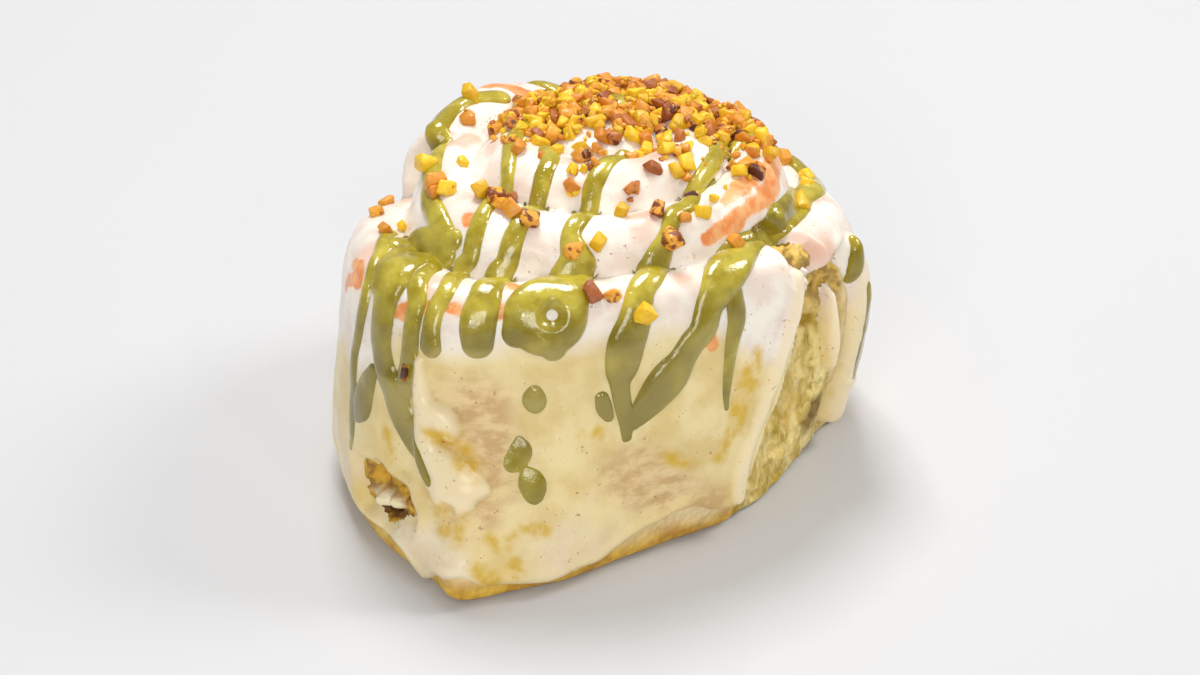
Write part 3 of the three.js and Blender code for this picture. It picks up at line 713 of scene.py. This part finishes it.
SAUCE_MARGIN = 1.6  # mm of depth past a strand's edge that the fine mesh takes in
SAUCE_ROOT = 0.9  # mm that a strand's rim dives into the icing
SAUCE_ROOT_KEPT = 0.7  # mm of it that is meshed
iced = skin_tree(icing_points, quads)


def sauce_depth(points, routes):
    """Height in mm of one strand's sauce over the icing at each point, below 0 outside it."""
    runs = [along_run(iced, points, route) for route in routes]
    beads = [domed(gap, half + SAUCE_SPREAD, SAUCE_RISE, SAUCE_DEEPEST) for gap, half in runs]
    depth = np.max(beads, axis=0)
    flattened = DRIP_THINNING * smooth_step(36, 30, points[:, 2])
    return np.where(depth > 0, depth * (1 - flattened), depth)


def refined(points, quads):
    """The same skin with each quad cut in four and rounded."""
    rough = soft_mesh("rough", points, quads)
    rounding = rough.modifiers.new("rounding", "SUBSURF")
    rounding.levels = 1
    made = rough.evaluated_get(bpy.context.evaluated_depsgraph_get()).to_mesh()
    fine = np.empty(len(made.vertices) * 3)
    made.vertices.foreach_get("co", fine)
    corners = np.empty(len(made.loops), int)
    made.loops.foreach_get("vertex_index", corners)
    rough.to_mesh_clear()
    bpy.data.objects.remove(rough)
    return fine.reshape(-1, 3) / MM, corners.reshape(-1, 4)


def sauce_finish():
    made = Finish("pistachio sauce")
    colour = made.blend(made.spread(made.noise(5, 3), 0.3, 0.7), (0.32, 0.24, 0.004), (0.56, 0.46, 0.055))
    # Painted shade: darker where the sauce hangs steep on the side.
    colour = made.blend(made.sums("MULTIPLY", made.mark("hanging"), 0.8), colour, (0.16, 0.12, 0.001))
    colour = made.blend(made.mark("film"), colour, (0.40, 0.32, 0.075))
    made.set(Base_Color=colour, Roughness=made.spread(made.noise(2), 0.3, 0.7, 0.10, 0.2))
    made.set(Coat_Weight=0.6, Coat_Roughness=0.05)
    made.set(Subsurface_Weight=0.12, Subsurface_Radius=(1.0, 0.9, 0.2), Subsurface_Scale=0.002)
    made.bump((made.noise(1.8, 3), 0.2), (made.noise(0.7, 2), 0.07))
    return made.material


sauce_coat = sauce_finish()
for name, routes in SAUCE.items():
    depth = sauce_depth(icing_points, routes)
    points, faces = kept_faces(icing_points, quads, depth > -SAUCE_MARGIN)
    points, faces = refined(points, faces)
    up = outward(points, faces)
    depth = sauce_depth(points, routes)
    depth = np.where(depth > 0, depth + 0.12 * lumps(points, 3.5, 41), np.maximum(depth, -SAUCE_ROOT))
    gap, half = along_run(iced, points, (HOLE, HOLE))
    depth = np.minimum(depth, EDGE_FALL * (gap - half))
    depth = relaxed(depth[:, None], faces, 5)[:, 0]
    compass = np.degrees(np.arctan2(points[:, 1], points[:, 0]))
    in_front = smooth_step(-140, -130, compass) * smooth_step(-62, -72, compass)
    film_line = FILM_TOP - 9 * smooth_step(-122, -128, compass) + 1.2 * lumps(points, 8, 45)
    film = (0.8 - 0.5 * smooth_step(-98, -90, compass)) * in_front
    film = film * smooth_step(0.8, -0.8, points[:, 2] - film_line) * smooth_step(24, 34, points[:, 2])
    film = film * np.clip(1.2 - 0.35 * lumps(points, 4, 46), 0.5, 1)
    # Painted shade on the steep and overhanging parts of a strand, in patches.
    hanging = smooth_step(0.6, 0.15, up[:, 2]) * smooth_step(-1.4, 0.4, lumps(points, 6, 49))
    points = points + up * depth[:, None]
    points, faces, film, hanging = kept_faces(points, faces, depth > -SAUCE_ROOT_KEPT, film, hanging)
    strand = soft_mesh(name, points, faces, film=film, hanging=hanging)
    strand.data.materials.append(sauce_coat)
    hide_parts(name)
    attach(strand, "root")


# ---------------------------------------------------------------------------------------------
# The chopped pistachios. Roasted kernels are chopped with a knife and heaped on the raised middle while
# the icing is wet: hard-edged chips of 2 to 4 mm, orange, yellow and brown, with fine crumbs between.

CHIP_SHAPES = 24
CHIP_BLOCK = (1, 0.76, 0.6)  # length, width and height of a cut piece, as shares of its length
CHIP_BLUNTING = 0.09  # of its length
HEAP_MIDDLE = (4.5, 1.0)  # mm
HEAP_RADII = (26.0, 25.5)  # mm
NODES_IN_HEAP = 34  # the part's own chips that lie in the heap; the rest are among the strays
CHIPS_IN_HEAP = 360
CHIP_LENGTHS = (1.7, 3.2)  # mm
CRUMBS_IN_HEAP = 520
CRUMB_LENGTHS = (0.7, 1.5)  # mm
KINDS = (0.46, 0.40, 0.14)  # shares of roasted, yellow and brown nuts
SEAT = 0.22  # how high a chip's middle lies over its ground, as a share of its length
STRAY_SEAT = 0.35
FOOTPRINT = 0.35  # half a chip's width on the heap
PILE_GROWTH = 0.23  # how much higher the heap is after it
NODE_TRIM = 0.85  # length of the nut that stands for one of the part's chips, by the chip's longest side
STRAYS = (  # single chips off the heap: (compass degrees, degrees up, length in mm, kind)
    (-167, 55, 4.4, 1), (-153, 55, 3.4, 0), (-147, 56, 3.2, 1), (-150, 54, 2.6, 0), (-167, 43, 2.6, 0),
    (-177, 43, 2.4, 0), (-156, 43, 2.6, 0), (-158, 45, 2, 1), (-137, 59, 3.2, 1), (-131, 59, 3.4, 0),
    (-128, 58, 2.4, 0), (-122, 57.5, 3, 0), (-115, 57, 3.2, 0), (-100, 53, 2.8, 0), (-93, 55, 2.6, 1),
    (-71, 55, 3.8, 0), (-49, 52, 2.6, 0), (-24, 62, 2.6, 0), (-30, 62, 2.8, 1), (-49, 60, 2, 1),
    (-64, 58, 2.4, 0), (-9, 48, 4, 1), (24, 46, 3, 0), (5, 46, 2.6, 1), (12, 45, 3, 1), (-94, 45, 3.4, 2),
    (-89, 45, 3, 0), (-82, 42, 3.8, 1), (-129, 26, 2.4, 2), (150, 60, 3.4, 1), (165, 62, 3, 0),
    (-72, 61, 2.8, 0), (-85, 62, 2.6, 1), (-55, 63, 2.2, 2),
)
draw = np.random.default_rng(7)


def chip_shape():
    """A knife-cut block about 1 long: corners at random, their hull, and its edges just blunted."""
    block = bmesh.new()
    for corner in np.ndindex(2, 2, 2):
        spot = (np.array(corner) - 0.5) * CHIP_BLOCK + draw.uniform(-0.2, 0.2, 3)
        block.verts.new(spot)
    for _ in range(3):
        block.verts.new(draw.uniform(-0.45, 0.45, 3) * (1.1, 0.9, 0.8))
    hull = bmesh.ops.convex_hull(block, input=block.verts[:])
    bmesh.ops.delete(block, geom=[v for v in hull["geom_interior"] if isinstance(v, bmesh.types.BMVert)])
    bmesh.ops.dissolve_limit(block, angle_limit=math.radians(12), verts=block.verts[:], edges=block.edges[:])
    bmesh.ops.bevel(block, geom=block.edges[:], offset=CHIP_BLUNTING, segments=2, profile=0.5,
                    affect="EDGES", clamp_overlap=True)
    bmesh.ops.recalc_face_normals(block, faces=block.faces[:])
    block.verts.index_update()
    points = np.array([v.co[:] for v in block.verts])
    faces = [[v.index for v in f.verts] for f in block.faces]
    block.free()
    return points, faces


def random_turn():
    turn = np.linalg.qr(draw.normal(size=(3, 3)))[0]
    return turn * np.sign(np.linalg.det(turn))


class Heap:
    """The chips of one kind, joined, with a shade for each chip."""

    def __init__(self, name):
        self.name = name
        self.points, self.faces, self.shades = [], [], []
        self.count = 0

    def add(self, shape, size, place, turn):
        points, faces = shape
        self.points.append(points * size @ turn.T + place)
        self.faces += [[self.count + i for i in face] for face in faces]
        self.shades.append(np.full(len(points), draw.uniform()))
        self.count += len(points)

    def mesh(self):
        points, shades = np.concatenate(self.points), np.concatenate(self.shades)
        return soft_mesh(self.name, points, self.faces, shade=shades)


def nut_finish(name, deep, bright, skin, skinned):
    """Kernel from deep to bright by the chip's shade, with patches of its papery skin."""
    made = Finish(name)
    shade = made.mark("shade")
    kernel = made.blend(shade, deep, bright)
    kernel = made.blend(made.spread(made.noise(1.1, 4), 0.3, 0.75, 0.0, 0.5), kernel, deep)
    patchy = made.spread(made.sums("ADD", made.noise(1.6, 3), shade), skinned, skinned + 0.1)
    colour = made.blend(patchy, kernel, skin)
    made.set(Base_Color=colour, Roughness=made.spread(made.noise(1), 0.3, 0.7, 0.3, 0.55))
    made.set(Subsurface_Weight=0.3, Subsurface_Radius=(1.0, 0.5, 0.1), Subsurface_Scale=0.0012)
    made.bump((made.noise(0.9, 5), 0.16), (made.cells(0.7), 0.05))
    return made.material


heaps = [Heap(name) for name in ("nuts_roasted", "nuts_yellow", "nuts_brown")]
shapes = [chip_shape() for _ in range(CHIP_SHAPES)]
PILE_STEP = 0.5  # mm
PILE_REACH = 50.0  # mm


def icing_under(x, y):
    hit = iced.ray_cast(Vector((x, y, 200)), Vector((0, 0, -1)))[0]
    return hit.z if hit else 0.0


pile_line = np.arange(-PILE_REACH, PILE_REACH, PILE_STEP)
pile = np.array([[icing_under(x, y) for y in pile_line] for x in pile_line])


def pile_cells(x, y, size):
    reach = max(1, round(FOOTPRINT * size / PILE_STEP))
    i, j = round((x + PILE_REACH) / PILE_STEP), round((y + PILE_REACH) / PILE_STEP)
    return slice(i - reach, i + reach + 1), slice(j - reach, j + reach + 1)


def settle(kind, x, y, size):
    """Set a chip down on the icing and on the chips already there."""
    cells = pile_cells(x, y, size)
    ground = pile[cells].mean()
    shape = shapes[draw.integers(CHIP_SHAPES)]
    heaps[kind].add(shape, size, np.array([x, y, ground + SEAT * size]), random_turn())
    pile[cells] = np.maximum(pile[cells], ground + PILE_GROWTH * size)


def kind_at_random():
    return draw.choice(3, p=KINDS)


def spot_in_heap():
    """A place in the heap: packed over its middle and back, open towards the front rim."""
    while True:
        x, y = draw.uniform(-1, 1, 2)
        out = math.hypot(x, y)
        thinner_rim = (1 - 0.5 * smooth_step(0.75, 1.0, out)) * (0.7 + 0.3 * out)
        packed = thinner_rim * (1 - 0.86 * smooth_step(0.05, -0.4, y))
        if out < 1 and draw.uniform() < packed:
            return HEAP_MIDDLE[0] + x * HEAP_RADII[0], HEAP_MIDDLE[1] + y * HEAP_RADII[1]


chip_nodes = sorted(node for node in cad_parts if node.startswith("pistachio_chip"))
for k, node in enumerate(chip_nodes[:NODES_IN_HEAP]):
    low_corner, high_corner = (np.array(corner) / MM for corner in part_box(node))
    middle = (low_corner + high_corner) / 2
    settle(k % 3, middle[0], middle[1], NODE_TRIM * max(high_corner - low_corner))
for count, lengths in ((CHIPS_IN_HEAP, CHIP_LENGTHS), (CRUMBS_IN_HEAP, CRUMB_LENGTHS)):
    for _ in range(count):
        settle(kind_at_random(), *spot_in_heap(), draw.uniform(*lengths))
for compass, up, size, kind in STRAYS:
    place = landed(iced, compass, up)
    away = place - HUB
    place = place + away / np.linalg.norm(away) * STRAY_SEAT * size
    heaps[kind].add(shapes[draw.integers(CHIP_SHAPES)], size, place, random_turn())

nut_coats = (
    nut_finish("roasted nut", (0.60, 0.20, 0.010), (0.92, 0.46, 0.045), (0.22, 0.045, 0.01), 1.4),
    nut_finish("green-yellow nut", (0.70, 0.40, 0.006), (1.0, 0.66, 0.025), (0.55, 0.22, 0.015), 1.45),
    nut_finish("brown-skinned nut", (0.30, 0.07, 0.012), (0.66, 0.24, 0.03), (0.10, 0.022, 0.01), 1.3),
)
for kind, (heap, coat) in enumerate(zip(heaps, nut_coats)):
    nuts = heap.mesh()
    nuts.data.materials.append(coat)
    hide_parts(*chip_nodes[kind::3])
    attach(nuts, "root")


# ---------------------------------------------------------------------------------------------
# The table, the lights and the camera: a plain pale table, broad soft lights over it and from the
# right, a warmer one from the front, and small bright ones that glint in the wet sauce.

TABLE_REACH = 6.0  # m each way


def table_top():
    made = Finish("plain table")
    pale = made.blend(made.spread(made.noise(400), 0.3, 0.7), (0.605, 0.605, 0.615), (0.62, 0.62, 0.63))
    made.set(Base_Color=pale, Roughness=0.9, Specular_IOR_Level=0.1)
    mesh = bpy.data.meshes.new("table_top")
    corners = [(x * TABLE_REACH, y * TABLE_REACH, 0) for x, y in ((-1, -1), (1, -1), (1, 1), (-1, 1))]
    mesh.from_pydata(corners, [], [(0, 1, 2, 3)])
    top = bpy.data.objects.new("table_top", mesh)
    bpy.context.collection.objects.link(top)
    mesh.materials.append(made.material)


def aimed(thing, place, target):
    """Put a lamp or the camera at a place and turn it to the target."""
    thing.location = place
    thing.rotation_euler = (Vector(target) - Vector(place)).to_track_quat("-Z", "Y").to_euler()
    bpy.context.collection.objects.link(thing)


ROLL_MIDDLE = (0, 0, 0.035)  # m


def lamp(name, place, size, power, colour=(1, 1, 1)):
    """A round soft lamp, size m across and power W, turned to the roll."""
    light = bpy.data.lights.new(name, "AREA")
    light.shape = "DISK"
    light.size = size
    light.energy = power
    light.color = colour
    aimed(bpy.data.objects.new(name, light), place, ROLL_MIDDLE)


table_top()
lamp("over", (-0.1, 0.35, 0.85), 0.35, 6.0)
lamp("right", (0.65, 0.15, 0.65), 0.3, 2.8)
lamp("front", (-0.1, -0.85, 0.45), 0.5, 3.3, (1.0, 0.98, 0.95))
GLINTS = (  # m: the places of the small lamps
    (-0.35, -0.35, 0.55), (0.05, -0.3, 0.7), (0.4, 0.1, 0.6), (-0.15, 0.3, 0.6), (0.3, -0.45, 0.45),
    (-0.2, -0.55, 0.35),
)
GLINT_SIZE = 0.015  # m
GLINT_POWER = 0.15  # W
for k, place in enumerate(GLINTS):
    lamp(f"glint_{k}", place, GLINT_SIZE, GLINT_POWER)
world = bpy.data.worlds.new("studio")
world.use_nodes = True
world.node_tree.nodes["Background"].inputs["Color"].default_value = (1, 1, 1, 1)
world.node_tree.nodes["Background"].inputs["Strength"].default_value = 0.3
bpy.context.scene.world = world
bpy.context.scene.view_settings.view_transform = "Standard"

AIM = Vector((-1.5, 0, 19)) * MM
TILT = math.radians(32)
AWAY = 0.46  # m
lens = bpy.data.cameras.new("camera")
lens.lens = 72.2
camera = bpy.data.objects.new("camera", lens)
aimed(camera, AIM + AWAY * Vector((0, -math.cos(TILT), math.sin(TILT))), AIM)
bpy.context.scene.camera = camera
